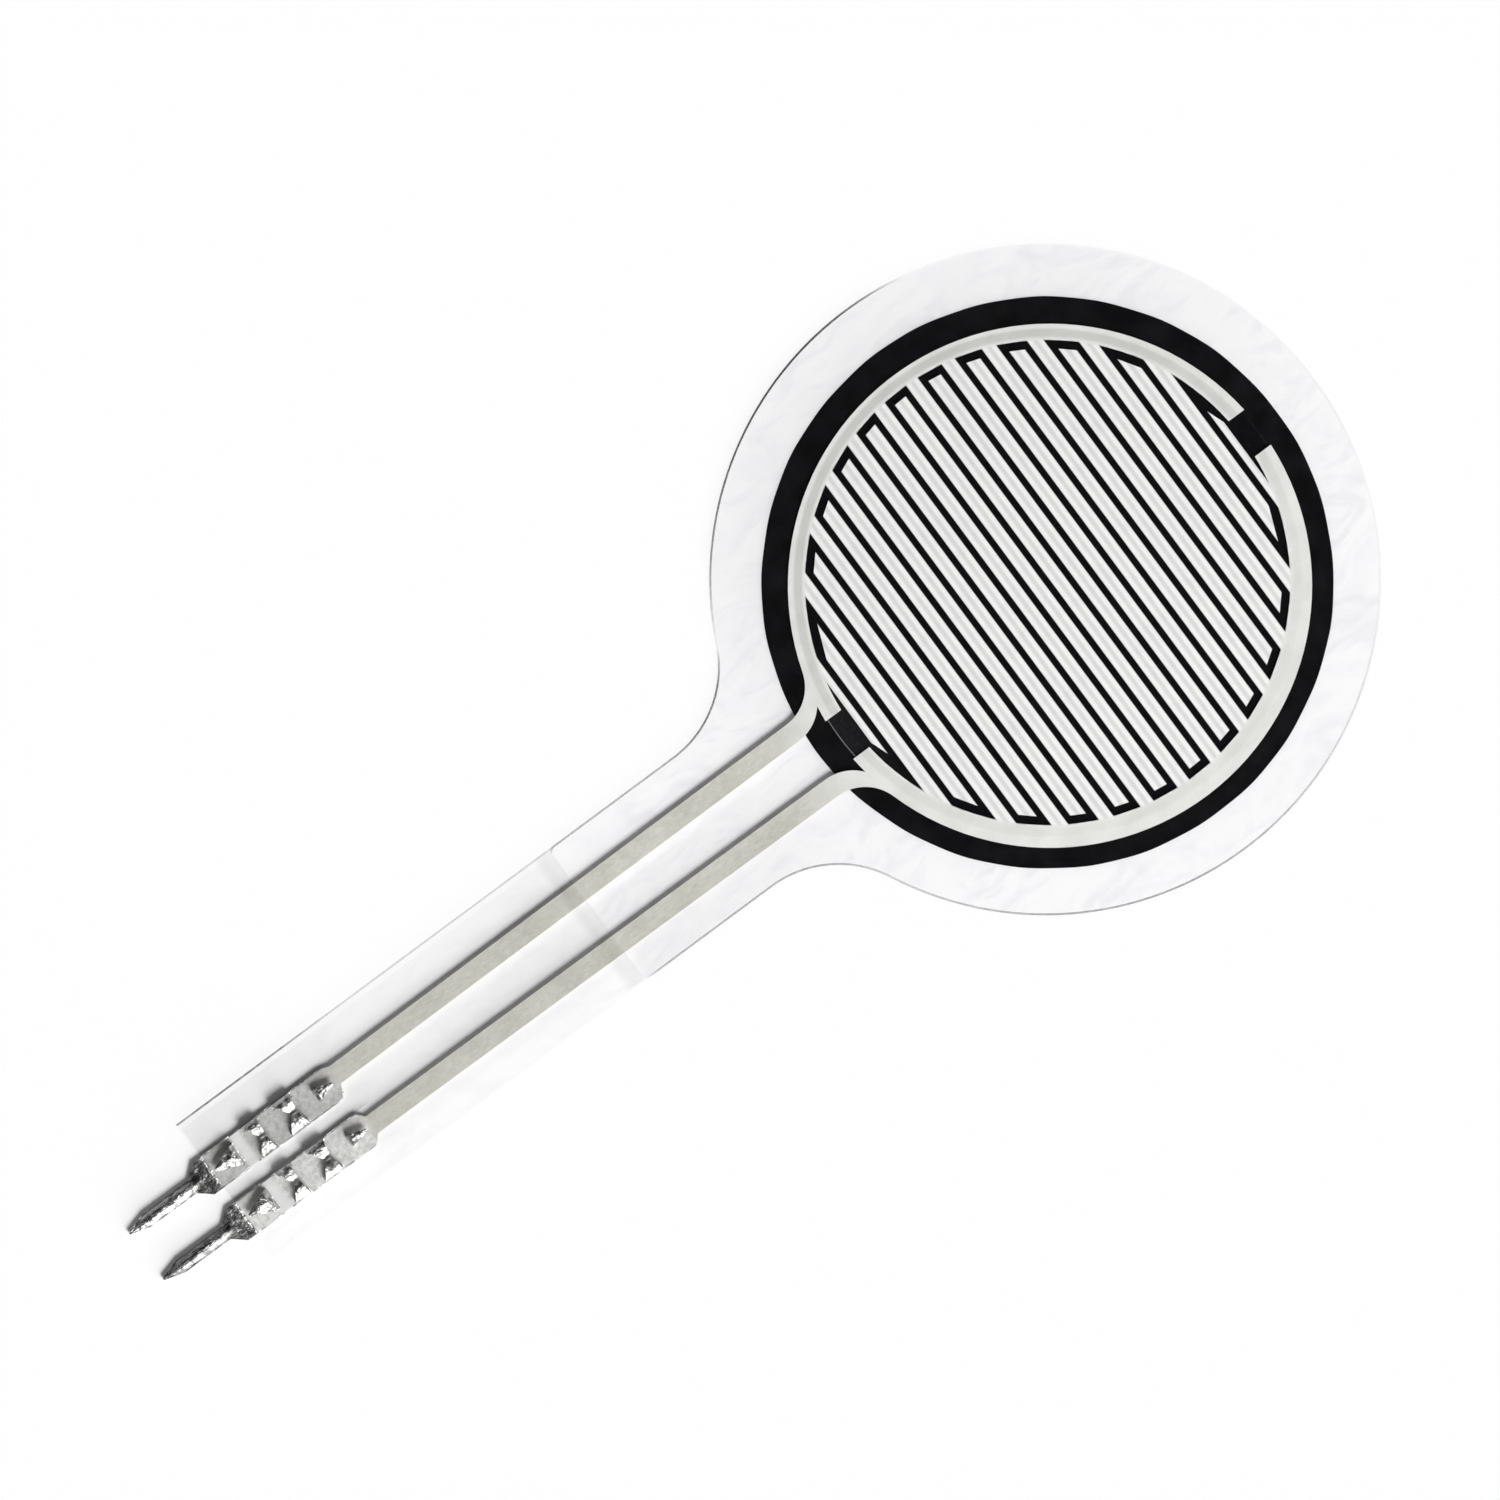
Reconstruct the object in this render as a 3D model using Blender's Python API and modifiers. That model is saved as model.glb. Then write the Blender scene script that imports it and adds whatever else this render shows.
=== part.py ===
"""Force sensing resistor: a round pressure pad with a film tail and two solder contacts.

Two clear polyester films are held apart by a ring of adhesive. The front film carries two
interleaved silver combs on its underside, and the rear film carries a disc of carbon ink that
bridges them when the pad is pressed. A silver trace runs from each comb down the tail to a
stamped contact, whose claws pierce the front film and curl over on top of it.

Units are metres. The origin is the centre of the round head, on the underside of the rear
film. The front, which is pressed, faces +Z, and the tail runs along -X.
"""

import math

import bmesh
import bpy
from mathutils import Matrix, Vector

MM = 0.001

# Film outline, as seen from the front
HEAD_R = 15.0 * MM
TAIL_W = 7.3 * MM
TAIL_SHIFT_Y = -0.13 * MM
HEAD_FILLET_R = 5.0 * MM
LAMINATED_TAIL_L = 10.1 * MM  # tail of both films, from the head's edge to the step
BARE_TAIL_L = 20.6 * MM  # tail of front film alone, from the step to the film's end
STEP_CORNER_R = 0.4 * MM

# Layers
REAR_FILM_T = 0.13 * MM
SPACER_T = 0.10 * MM
FRONT_FILM_T = 0.13 * MM
CARBON_T = 0.015 * MM
SILVER_T = 0.015 * MM
INK_CLEARANCE = 0.02 * MM  # the adhesive stops this far from the edge of an ink

# Printed pattern, whose centre lies a little off the head's
PRINT_SHIFT_Y = -0.17 * MM
CARBON_MARGIN = 2.2 * MM  # clear film outside the carbon disc
SPACER_LAP = 1.2 * MM  # carbon covered by the adhesive ring
BUS_MARGIN = 1.1 * MM  # carbon outside the silver ring
BUS_W = 0.87 * MM
BUS_SHIFT_Y = -0.18 * MM  # outer edge of the silver ring against its inner edge
FAR_GAP = 1.96 * MM  # between the two half rings, on the side away from the tail
NECK_GAP = 2.08 * MM  # between the two half rings, at the tail

# Fingers of the combs
FINGER_PITCH = 0.921 * MM
FINGER_GAP = 0.286 * MM
END_GAP = 0.38 * MM  # from a finger's free end to the other comb's ring
EDGE_FINGER_ROOT = 2.3 * MM  # how far off the axis the outermost finger leaves its ring
EDGE_FINGER_MIN_W = 0.15 * MM
EDGE_FINGER_TIP = 1.07 * MM  # how far past the axis its outer side ends

# Traces down the tail
TRACE_W = 0.92 * MM
TRACE_PITCH_HEAD = 3.0 * MM
TRACE_PITCH_END = 2.77 * MM
TRACE_SHIFT_Y = -0.13 * MM
TRACE_FILLET_R = 2.1 * MM
PAD_W = 1.62 * MM  # where a trace widens over its contact
PAD_L = 6.93 * MM
PAD_TAPER_L = 0.30 * MM
PAD_END_MARGIN = 0.12 * MM  # bare film beyond the end of a pad

# Stamped contacts
CONTACT_PITCH = 2.54 * MM
CONTACT_SHIFT_Y = -0.42 * MM
METAL_T = 0.20 * MM
PLATE_W = 1.72 * MM
PLATE_L = 6.95 * MM  # under the film, from the film's end
PLATE_CORNER_R = 0.45 * MM
SHOULDER_L = 0.43 * MM  # plate beyond the film's end
SHOULDER_TAPER_L = 0.62 * MM
WAIST_X = 1.83 * MM
WAIST_L = 0.50 * MM
WAIST_W = 1.10 * MM
WAIST_FLOOR_L = 0.28 * MM

# Solder pin, the end of the contact, with a half-round rib pressed up along it
PIN_W = 0.68 * MM
PIN_L = 3.48 * MM
PIN_POINT_L = 1.0 * MM
PIN_POINT_W = 0.12 * MM
RIB_R = 0.32 * MM
RIB_TIP_R = 0.05 * MM
RIB_RUN_IN = 0.55 * MM  # how far the rib starts inside the shoulder
RIB_ROOT_Z = 0.12 * MM  # the rib's underside, inside the metal

# Claws, cut from the plate and curled over the film
CLAWS = ((2.70 * MM, 0.80 * MM), (4.43 * MM, 1.00 * MM))  # distance from the film's end, width
CLAW_TIP_W = 0.24 * MM
CLAW_REACH = 0.60 * MM  # from a claw's upright part to its tip, towards the plate's middle
CLAW_RISE = 0.17 * MM
CLAW_LEAN = 0.18 * MM  # of a claw's tip towards the head
CLAW_UPRIGHT_POINTS = 3  # of a claw's path, before it starts to narrow
CLAW_INSET = 0.02 * MM
CLAW_TIP_GAP = 0.035 * MM  # under a claw's tip, above the film
LANCES = (  # place of the fold, way the tongue points, its width and its length
    (1.44 * MM, -1, 1.02 * MM, 1.15 * MM),
    (5.90 * MM, 1, 0.54 * MM, 0.85 * MM),
)
LANCE_TIP_W = 0.10 * MM
LANCE_BEND_R = 0.14 * MM
LANCE_DROOP = 0.03 * MM
LANCE_CROWN = 0.20  # height of the crease along a tongue, as a share of half its width
SLOT_CLEARANCE = 0.03 * MM

# Fineness
ARC_STEP = math.radians(3.0)
BEND_STEP = math.radians(18.0)
ROUND_SIDES = 120
SHARP_ANGLE = math.radians(35.0)
WELD = 0.001 * MM
CUT_MARGIN = 1.0 * MM

# Derived sizes
STEP_X = -(HEAD_R + LAMINATED_TAIL_L)
FILM_END_X = STEP_X - BARE_TAIL_L
CARBON_R = HEAD_R - CARBON_MARGIN
SPACER_OPENING_R = CARBON_R - SPACER_LAP
BUS_OUTER_R = CARBON_R - BUS_MARGIN
BUS_INNER_R = BUS_OUTER_R - BUS_W
FREE_END_R = BUS_INNER_R - END_GAP
SPACER_TOP_Z = REAR_FILM_T + SPACER_T
SILVER_Z = SPACER_TOP_Z - SILVER_T
FRONT_TOP_Z = SPACER_TOP_Z + FRONT_FILM_T
PLATE_Z = SILVER_Z - METAL_T
FILM_TOP_ABOVE_PLATE = FRONT_TOP_Z - PLATE_Z  # film surface in the contact's own frame

PRINT_CENTRE = Vector((0.0, PRINT_SHIFT_Y))


def start_scene():
    """Empty the scene and return the collections for the parts and for the cutters."""
    for old in list(bpy.data.objects):
        bpy.data.objects.remove(old, do_unlink=True)
    found = []
    for name in ("force_sensing_resistor", "cutters"):
        collection = bpy.data.collections.new(name)
        bpy.context.scene.collection.children.link(collection)
        found.append(collection)
    return found


PARTS, CUTTERS = start_scene()


def material(name, colour, roughness, metallic=0.0, transmission=0.0):
    """A Principled material for one part."""
    made = bpy.data.materials.new(name)
    made.use_nodes = True
    shader = made.node_tree.nodes["Principled BSDF"]
    shader.inputs["Base Color"].default_value = (*colour, 1.0)
    shader.inputs["Roughness"].default_value = roughness
    shader.inputs["Metallic"].default_value = metallic
    shader.inputs["Transmission Weight"].default_value = transmission
    return made


def arc(centre, radius, start, end, step=ARC_STEP):
    """Points along an arc from one angle to the other, both ends included."""
    count = max(2, math.ceil(abs(end - start) / step))
    angles = [start + (end - start) * i / count for i in range(count + 1)]
    return [(centre[0] + radius * math.cos(a), centre[1] + radius * math.sin(a)) for a in angles]


def moved(points, offset):
    return [(x + offset[0], y + offset[1]) for x, y in points]


def as_mesh(guide, name, collection):
    """Replace a curve object by the mesh it shows, with its caps welded."""
    bpy.context.view_layer.update()
    evaluated = guide.evaluated_get(bpy.context.evaluated_depsgraph_get())
    mesh = bpy.data.meshes.new_from_object(evaluated)
    mesh.transform(guide.matrix_world)
    bpy.data.objects.remove(guide, do_unlink=True)
    work = bmesh.new()
    work.from_mesh(mesh)
    bmesh.ops.remove_doubles(work, verts=work.verts, dist=WELD)
    work.to_mesh(mesh)
    work.free()
    mesh.name = name
    solid = bpy.data.objects.new(name, mesh)
    collection.objects.link(solid)
    return solid


def flat_solid(name, outlines, bottom, top, collection=PARTS):
    """A flat sheet from closed outlines: the first is its edge, the others are openings."""
    curve = bpy.data.curves.new(name, "CURVE")
    curve.dimensions = "2D"
    curve.fill_mode = "BOTH"
    curve.extrude = (top - bottom) / 2
    for outline in outlines:
        spline = curve.splines.new("POLY")
        spline.points.add(len(outline) - 1)
        for point, (x, y) in zip(spline.points, outline):
            point.co = (x, y, 0.0, 1.0)
        spline.use_cyclic_u = True
    guide = bpy.data.objects.new(name + "_guide", curve)
    guide.location.z = (bottom + top) / 2
    collection.objects.link(guide)
    return as_mesh(guide, name, collection)


def box(name, low, high, collection):
    """A block between two corners."""
    low, high = Vector(low), Vector(high)
    size = high - low
    mesh = bpy.data.meshes.new(name)
    work = bmesh.new()
    place = Matrix.Translation((low + high) / 2) @ Matrix.Diagonal((*size, 1.0))
    bmesh.ops.create_cube(work, size=1.0, matrix=place)
    work.to_mesh(mesh)
    work.free()
    solid = bpy.data.objects.new(name, mesh)
    collection.objects.link(solid)
    return solid


def disc(name, radius, centre, bottom, top, collection=PARTS):
    """A round disc."""
    mesh = bpy.data.meshes.new(name)
    work = bmesh.new()
    place = Matrix.Translation((*centre, (bottom + top) / 2))
    bmesh.ops.create_cone(
        work, cap_ends=True, segments=ROUND_SIDES, radius1=radius, radius2=radius,
        depth=top - bottom, matrix=place,
    )
    work.to_mesh(mesh)
    work.free()
    solid = bpy.data.objects.new(name, mesh)
    collection.objects.link(solid)
    return solid


def combine(solid, other, operation):
    """Cut the solid with the other piece, or join the other piece to it."""
    other.hide_render = True
    other.display_type = "WIRE"
    boolean = solid.modifiers.new(other.name, "BOOLEAN")
    boolean.operation = operation
    boolean.solver = "EXACT"
    boolean.object = other


def smooth(mesh):
    mesh.shade_smooth()
    mesh.set_sharp_from_angle(angle=SHARP_ANGLE)


def tail_side(side, end_x, corner_r):
    """One side of the tail, from its end to the head, and the angle at which it meets the head.

    Coordinates are x and the height above the axis on this side: 1 upper, -1 lower.
    """
    edge = TAIL_W / 2 + side * TAIL_SHIFT_Y
    rise = edge + HEAD_FILLET_R
    fillet_x = -math.sqrt((HEAD_R + HEAD_FILLET_R) ** 2 - rise ** 2)
    points = [(end_x, edge)]
    if corner_r > 0:
        points = arc((end_x + corner_r, edge - corner_r), corner_r, math.pi, math.pi / 2, BEND_STEP)
    points += arc((fillet_x, rise), HEAD_FILLET_R, -math.pi / 2, -math.atan2(rise, -fillet_x))
    return points, math.atan2(rise, fillet_x)


def keyhole(end_x, corner_r):
    """Outline of a round head with a tail that ends at end_x, with rounded end corners."""
    upper, upper_join = tail_side(1, end_x, corner_r)
    lower, lower_join = tail_side(-1, end_x, corner_r)
    points = [(x, -y) for x, y in lower]
    points += arc((0.0, 0.0), HEAD_R, -lower_join, upper_join)[1:-1]
    return points + upper[::-1]


def circle_crossing(centre_a, radius_a, centre_b, radius_b):
    """The lower of the two points that two circles share."""
    a, b = Vector(centre_a), Vector(centre_b)
    between = b - a
    distance = between.length
    along = (distance ** 2 + radius_a ** 2 - radius_b ** 2) / (2 * distance)
    off = math.sqrt(radius_a ** 2 - along ** 2)
    unit = between / distance
    normal = Vector((-unit.y, unit.x))
    foot = a + unit * along
    return min(foot + normal * off, foot - normal * off, key=lambda p: p.y)


def trace_sides(side, grow=0.0):
    """Both edges of a trace with the fillets that lead it into its half ring.

    Coordinates are x and the height above the axis on the trace's own side. The first list
    runs from the ring to the trace's pad, the second from there back to the ring. Both edges
    lie further out by grow.
    """
    ring = (0.0, side * BUS_SHIFT_Y)
    ring_r = BUS_OUTER_R + grow
    half = TRACE_W / 2
    head = TRACE_PITCH_HEAD / 2 + side * TRACE_SHIFT_Y
    end = TRACE_PITCH_END / 2 + side * TRACE_SHIFT_Y
    end_x = FILM_END_X + PAD_END_MARGIN + PAD_L
    outer_y = head + half + TRACE_FILLET_R
    bend_x = -math.sqrt((BUS_OUTER_R + TRACE_FILLET_R) ** 2 - (outer_y - ring[1]) ** 2)
    meet = math.atan2(outer_y - ring[1], bend_x)
    outward = arc((bend_x, outer_y), TRACE_FILLET_R - grow, meet + math.pi, 1.5 * math.pi, 2 * ARC_STEP)
    outward.append((end_x, end + half + grow))

    inner = (bend_x, head - half + TRACE_FILLET_R)
    inner_r = TRACE_FILLET_R + grow
    crossing = circle_crossing(inner, inner_r, ring, ring_r)
    stop = math.atan2(crossing.y - inner[1], crossing.x - inner[0]) + 2 * math.pi
    homeward = [(end_x, end - half - grow)]
    homeward += arc(inner, inner_r, 1.5 * math.pi, stop, 2 * ARC_STEP)
    return outward, homeward


def pad_corners(side):
    """The pad at the end of a trace, in the same coordinates, from its outer to its inner side."""
    middle = side * (contact_y(side) - PRINT_SHIFT_Y)
    half = PAD_W / 2
    end_x = FILM_END_X + PAD_END_MARGIN
    full_x = end_x + PAD_L - PAD_TAPER_L
    return [(full_x, middle + half), (end_x, middle + half), (end_x, middle - half), (full_x, middle - half)]


def finger_spans():
    """Left and right side of every finger, with the comb it belongs to: 1 upper, -1 lower."""
    edge = math.sqrt(BUS_INNER_R ** 2 - EDGE_FINGER_ROOT ** 2)
    half_gap = FINGER_GAP / 2
    gaps = int((edge - half_gap - EDGE_FINGER_MIN_W) / FINGER_PITCH)
    spans = []
    for i in range(-gaps - 1, gaps + 1):
        left = max(i * FINGER_PITCH + half_gap, -edge)
        right = min((i + 1) * FINGER_PITCH - half_gap, edge)
        spans.append((left, right, 1 if i % 2 == 0 else -1))
    return spans


def free_end(x):
    """How far past the axis a finger ends at this x, in line with the other ring."""
    return math.sqrt(max(FREE_END_R ** 2 - x ** 2, EDGE_FINGER_TIP ** 2))


def comb_outline(side):
    """Outline of one silver comb: half ring, fingers, trace and pad."""
    ring = (0.0, side * BUS_SHIFT_Y)
    far = FAR_GAP / 2
    neck = NECK_GAP / 2 + side * TRACE_SHIFT_Y
    outward, homeward = trace_sides(side)
    first, last = outward[0], homeward[-1]
    start = math.asin((far - ring[1]) / BUS_OUTER_R)
    meet = math.atan2(first[1] - ring[1], first[0])
    leave = math.atan2(last[1] - ring[1], last[0])
    stop = math.pi - math.asin((neck - ring[1]) / BUS_OUTER_R)
    points = arc(ring, BUS_OUTER_R, start, meet)[:-1] + outward + pad_corners(side) + homeward
    points += arc(ring, BUS_OUTER_R, leave, stop)[1:]
    angle = math.pi - math.asin(neck / BUS_INNER_R)
    for left, right, owner in finger_spans():
        if owner != side:
            continue
        points += arc((0.0, 0.0), BUS_INNER_R, angle, math.acos(left / BUS_INNER_R))
        points.append((left, -free_end(left)))
        points.append((right, -free_end(right)))
        angle = math.acos(right / BUS_INNER_R)
    points += arc((0.0, 0.0), BUS_INNER_R, angle, math.asin(far / BUS_INNER_R))
    return moved([(x, side * y) for x, y in points], PRINT_CENTRE)


def contact_y(side):
    return CONTACT_SHIFT_Y + side * CONTACT_PITCH / 2


def slot_spans():
    """Where the claws pass the film, in the contact's frame: low and high x and y."""
    reach = METAL_T / 2 + SLOT_CLEARANCE
    spans = []
    for x, width in CLAWS:
        half = width / 2 + SLOT_CLEARANCE
        for side in (1, -1):
            y = side * (PLATE_W / 2 - CLAW_INSET - METAL_T / 2)
            spans.append((x - half, x + half, y - reach, y + reach))
    for x, _way, width, _length in LANCES:
        half = width / 2 + SLOT_CLEARANCE
        spans.append((x - reach, x + reach, -half, half))
    return spans


def film_slots():
    """The slots of both contacts as outlines on the film."""
    outlines = []
    for side in (1, -1):
        for x0, x1, y0, y1 in slot_spans():
            corners = [(x0, y0), (x1, y0), (x1, y1), (x0, y1)]
            outlines.append(moved(corners, (FILM_END_X, contact_y(side))))
    return outlines


def make_rear_film():
    film = flat_solid("rear_film", [keyhole(STEP_X, STEP_CORNER_R)], 0.0, REAR_FILM_T)
    smooth(film.data)
    film.data.materials.append(material("rear_polyester", (0.90, 0.91, 0.94), 0.12, transmission=0.9))


def make_carbon_disc():
    carbon = disc("carbon_disc", CARBON_R, PRINT_CENTRE, REAR_FILM_T, REAR_FILM_T + CARBON_T)
    smooth(carbon.data)
    carbon.data.materials.append(material("carbon_ink", (0.012, 0.012, 0.014), 0.55))


def make_spacer():
    """The adhesive between the films, moulded round the edge of both inks."""
    opening = arc(PRINT_CENTRE, SPACER_OPENING_R, 0.0, 2 * math.pi - ARC_STEP)
    outlines = [keyhole(STEP_X, STEP_CORNER_R), opening]
    spacer = flat_solid("spacer_adhesive", outlines, REAR_FILM_T, SPACER_TOP_Z)
    over_carbon = disc(
        "carbon_recess", CARBON_R + INK_CLEARANCE, PRINT_CENTRE,
        REAR_FILM_T - CUT_MARGIN, REAR_FILM_T + CARBON_T, CUTTERS,
    )
    ring_centre = PRINT_CENTRE + Vector((0.0, BUS_SHIFT_Y))
    round_ring = disc(
        "ring_recess", BUS_OUTER_R + INK_CLEARANCE, ring_centre,
        SILVER_Z, SPACER_TOP_Z + CUT_MARGIN, CUTTERS,
    )
    combine(spacer, over_carbon, "DIFFERENCE")
    combine(spacer, round_ring, "DIFFERENCE")
    for side, name in ((1, "upper"), (-1, "lower")):
        outward, homeward = trace_sides(side, INK_CLEARANCE)
        outline = moved([(x, side * y) for x, y in outward + homeward], PRINT_CENTRE)
        channel = flat_solid(
            name + "_trace_channel", [outline], SILVER_Z, SPACER_TOP_Z + CUT_MARGIN, CUTTERS
        )
        combine(spacer, channel, "DIFFERENCE")
    spacer.data.materials.append(material("spacer_adhesive", (0.93, 0.94, 0.95), 0.3, transmission=0.8))


def make_silver_combs():
    silver = material("silver_ink", (0.74, 0.74, 0.71), 0.5, metallic=0.6)
    for side, name in ((1, "upper"), (-1, "lower")):
        comb = flat_solid(name + "_silver_comb", [comb_outline(side)], SILVER_Z, SPACER_TOP_Z)
        low_z = SILVER_Z - CUT_MARGIN
        high_z = SPACER_TOP_Z + CUT_MARGIN
        for index, (x0, x1, y0, y1) in enumerate(slot_spans()):
            corner = Vector((FILM_END_X, contact_y(side), 0.0))
            slot = box(
                f"{name}_slot_{index + 1}", corner + Vector((x0, y0, low_z)),
                corner + Vector((x1, y1, high_z)), CUTTERS,
            )
            combine(comb, slot, "DIFFERENCE")
        comb.data.materials.append(silver)


def make_front_film():
    """The front film. Its head and tail are filled apart, so that the round head is one face."""
    outline = keyhole(FILM_END_X, 0.0)
    film = flat_solid("front_film", [outline[1:-1]], SPACER_TOP_Z, FRONT_TOP_Z)
    outlines = [outline[:2] + outline[-2:]] + film_slots()
    tail = flat_solid("front_film_tail", outlines, SPACER_TOP_Z, FRONT_TOP_Z, CUTTERS)
    work = bmesh.new()
    work.from_mesh(film.data)
    work.from_mesh(tail.data)
    bmesh.ops.remove_doubles(work, verts=work.verts, dist=WELD)
    seam = [Vector(outline[1]), Vector(outline[-2])]
    ends = {vert for vert in work.verts if min((vert.co.xy - place).length for place in seam) < WELD}
    wall = [face for face in work.faces if ends.issuperset(face.verts)]
    bmesh.ops.delete(work, geom=wall, context="FACES_ONLY")
    work.to_mesh(film.data)
    work.free()
    bpy.data.objects.remove(tail, do_unlink=True)
    smooth(film.data)
    film.data.materials.append(material("front_polyester", (0.93, 0.94, 0.96), 0.1, transmission=0.95))


def plate_outline():
    """Plan of the stamped contact, from the pin's point to the plate's rounded end."""
    half = PLATE_W / 2
    shoulder_x = -SHOULDER_L
    pin_x = shoulder_x - SHOULDER_TAPER_L
    tip_x = pin_x - PIN_L
    corner = (PLATE_L - PLATE_CORNER_R, half - PLATE_CORNER_R)
    upper = [
        (tip_x, PIN_POINT_W / 2),
        (tip_x + PIN_POINT_L, PIN_W / 2),
        (pin_x, PIN_W / 2),
        (shoulder_x, half),
        (WAIST_X - WAIST_L / 2, half),
        (WAIST_X - WAIST_FLOOR_L / 2, WAIST_W / 2),
        (WAIST_X + WAIST_FLOOR_L / 2, WAIST_W / 2),
        (WAIST_X + WAIST_L / 2, half),
    ]
    upper += arc(corner, PLATE_CORNER_R, math.pi / 2, 0.0, BEND_STEP)
    return upper + [(x, -y) for x, y in reversed(upper)]


def lance_opening(root_x, way, width, length):
    """The window that a tongue leaves in the plate."""
    start = root_x + way * METAL_T / 2
    end = start + way * length
    return [(start, -width / 2), (end, -LANCE_TIP_W / 2), (end, LANCE_TIP_W / 2), (start, width / 2)]


def ribbon(name, path, widths, across, crowns=()):
    """A bent strip of the contact's metal along a path, tapering from width to width.

    A strip with crowns has a crease along its middle, raised by so much at each point.
    """
    mesh = bpy.data.meshes.new(name)
    work = bmesh.new()
    rows = []
    for index, (point, width) in enumerate(zip(path, widths)):
        offset = Vector(across) * (width / 2)
        row = [Vector(point) - offset, Vector(point) + offset]
        if crowns:
            row.insert(1, Vector(point) + Vector((0.0, 0.0, crowns[index])))
        rows.append([work.verts.new(place) for place in row])
    for low, high in zip(rows, rows[1:]):
        for i in range(len(low) - 1):
            work.faces.new((low[i], low[i + 1], high[i + 1], high[i]))
    work.to_mesh(mesh)
    work.free()
    strip = bpy.data.objects.new(name, mesh)
    CUTTERS.objects.link(strip)
    solidify = strip.modifiers.new("metal", "SOLIDIFY")
    solidify.thickness = METAL_T
    solidify.offset = 0.0
    solidify.use_even_offset = True
    return strip


def taper(count, root, tip, straight):
    """Widths for a strip that keeps its root width over its first points, then narrows."""
    widths = [root] * straight
    for i in range(count - straight):
        widths.append(root + (tip - root) * (i + 1) / (count - straight))
    return widths


def side_claw(name, x, width, side):
    """A claw from the plate's edge, up through the film and arched in towards the middle."""
    edge_y = PLATE_W / 2 - CLAW_INSET - METAL_T / 2
    foot_z = FILM_TOP_ABOVE_PLATE + CLAW_TIP_GAP
    path = [(x, side * edge_y, METAL_T / 2)]
    for along, up in arc((0.0, 0.0), 1.0, 0.0, math.pi, BEND_STEP):
        gone = (1.0 - along) / 2
        path.append((x + CLAW_LEAN * gone, side * (edge_y - CLAW_REACH * gone), foot_z + CLAW_RISE * up))
    widths = taper(len(path), width, CLAW_TIP_W, CLAW_UPRIGHT_POINTS)
    return ribbon(name, path, widths, (1.0, 0.0, 0.0))


def lance(name, root_x, way, width, length):
    """A pointed tongue, bent up through the film and folded down flat along it."""
    bend_z = FILM_TOP_ABOVE_PLATE + METAL_T / 2 + CLAW_TIP_GAP + LANCE_DROOP - LANCE_BEND_R
    profile = [(0.0, METAL_T / 2)]
    profile += arc((LANCE_BEND_R, bend_z), LANCE_BEND_R, math.pi, math.pi / 2, BEND_STEP)
    profile.append((length, bend_z + LANCE_BEND_R - LANCE_DROOP))
    path = [(root_x + way * x, 0.0, z) for x, z in profile]
    widths = [width] * (len(path) - 1) + [LANCE_TIP_W]
    crowns = [0.0] * (len(path) - 2) + [LANCE_CROWN * end / 2 for end in widths[-2:]]
    return ribbon(name, path, widths, (0.0, 1.0, 0.0), crowns)


def pin_rib():
    """The half-round rib that stiffens the pin, from inside the shoulder to the point."""
    pin_x = -SHOULDER_L - SHOULDER_TAPER_L
    tip_x = pin_x - PIN_L
    stations = [
        (pin_x + RIB_RUN_IN, RIB_TIP_R),
        (pin_x, RIB_R),
        (tip_x + PIN_POINT_L, RIB_R),
        (tip_x + 2 * RIB_TIP_R, RIB_TIP_R),
    ]
    curve = bpy.data.curves.new("pin_rib", "CURVE")
    curve.dimensions = "3D"
    curve.bevel_depth = 1.0
    curve.bevel_resolution = 3
    curve.use_fill_caps = True
    spline = curve.splines.new("POLY")
    spline.points.add(len(stations) - 1)
    for point, (x, radius) in zip(spline.points, stations):
        point.co = (x, 0.0, METAL_T / 2, 1.0)
        point.radius = radius
    guide = bpy.data.objects.new("pin_rib_guide", curve)
    CUTTERS.objects.link(guide)
    rib = as_mesh(guide, "pin_rib", CUTTERS)
    work = bmesh.new()
    work.from_mesh(rib.data)
    geometry = work.verts[:] + work.edges[:] + work.faces[:]
    cut = bmesh.ops.bisect_plane(
        work, geom=geometry, plane_co=(0.0, 0.0, RIB_ROOT_Z), plane_no=(0.0, 0.0, -1.0),
        clear_outer=True, dist=WELD,
    )
    rim = [item for item in cut["geom_cut"] if isinstance(item, bmesh.types.BMEdge)]
    bmesh.ops.edgeloop_fill(work, edges=rim)
    bmesh.ops.recalc_face_normals(work, faces=work.faces)
    work.to_mesh(rib.data)
    work.free()
    return rib


def make_contacts():
    """One stamped contact, used for both traces."""
    outlines = [plate_outline()] + [lance_opening(*sizes) for sizes in LANCES]
    blank = flat_solid("contact_blank", outlines, 0.0, METAL_T, CUTTERS)
    pieces = [pin_rib()]
    for index, (x, width) in enumerate(CLAWS):
        for side, word in ((1, "left"), (-1, "right")):
            pieces.append(side_claw(f"claw_{word}_{index + 1}", x, width, side))
    for index, sizes in enumerate(LANCES):
        pieces.append(lance(f"lance_{index + 1}", *sizes))
    for piece in pieces:
        combine(blank, piece, "UNION")
    bpy.context.view_layer.update()
    shown = blank.evaluated_get(bpy.context.evaluated_depsgraph_get())
    mesh = bpy.data.meshes.new_from_object(shown)
    mesh.name = "solder_contact"
    mesh.materials.clear()
    mesh.materials.append(material("tinned_brass", (0.62, 0.62, 0.60), 0.28, metallic=1.0))
    smooth(mesh)
    bpy.data.objects.remove(blank, do_unlink=True)
    for piece in pieces:
        bpy.data.objects.remove(piece, do_unlink=True)
    for side, name in ((1, "upper"), (-1, "lower")):
        contact = bpy.data.objects.new(name + "_solder_contact", mesh)
        contact.location = (FILM_END_X, contact_y(side), PLATE_Z)
        PARTS.objects.link(contact)


make_rear_film()
make_carbon_disc()
make_spacer()
make_silver_combs()
make_front_film()
make_contacts()
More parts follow.
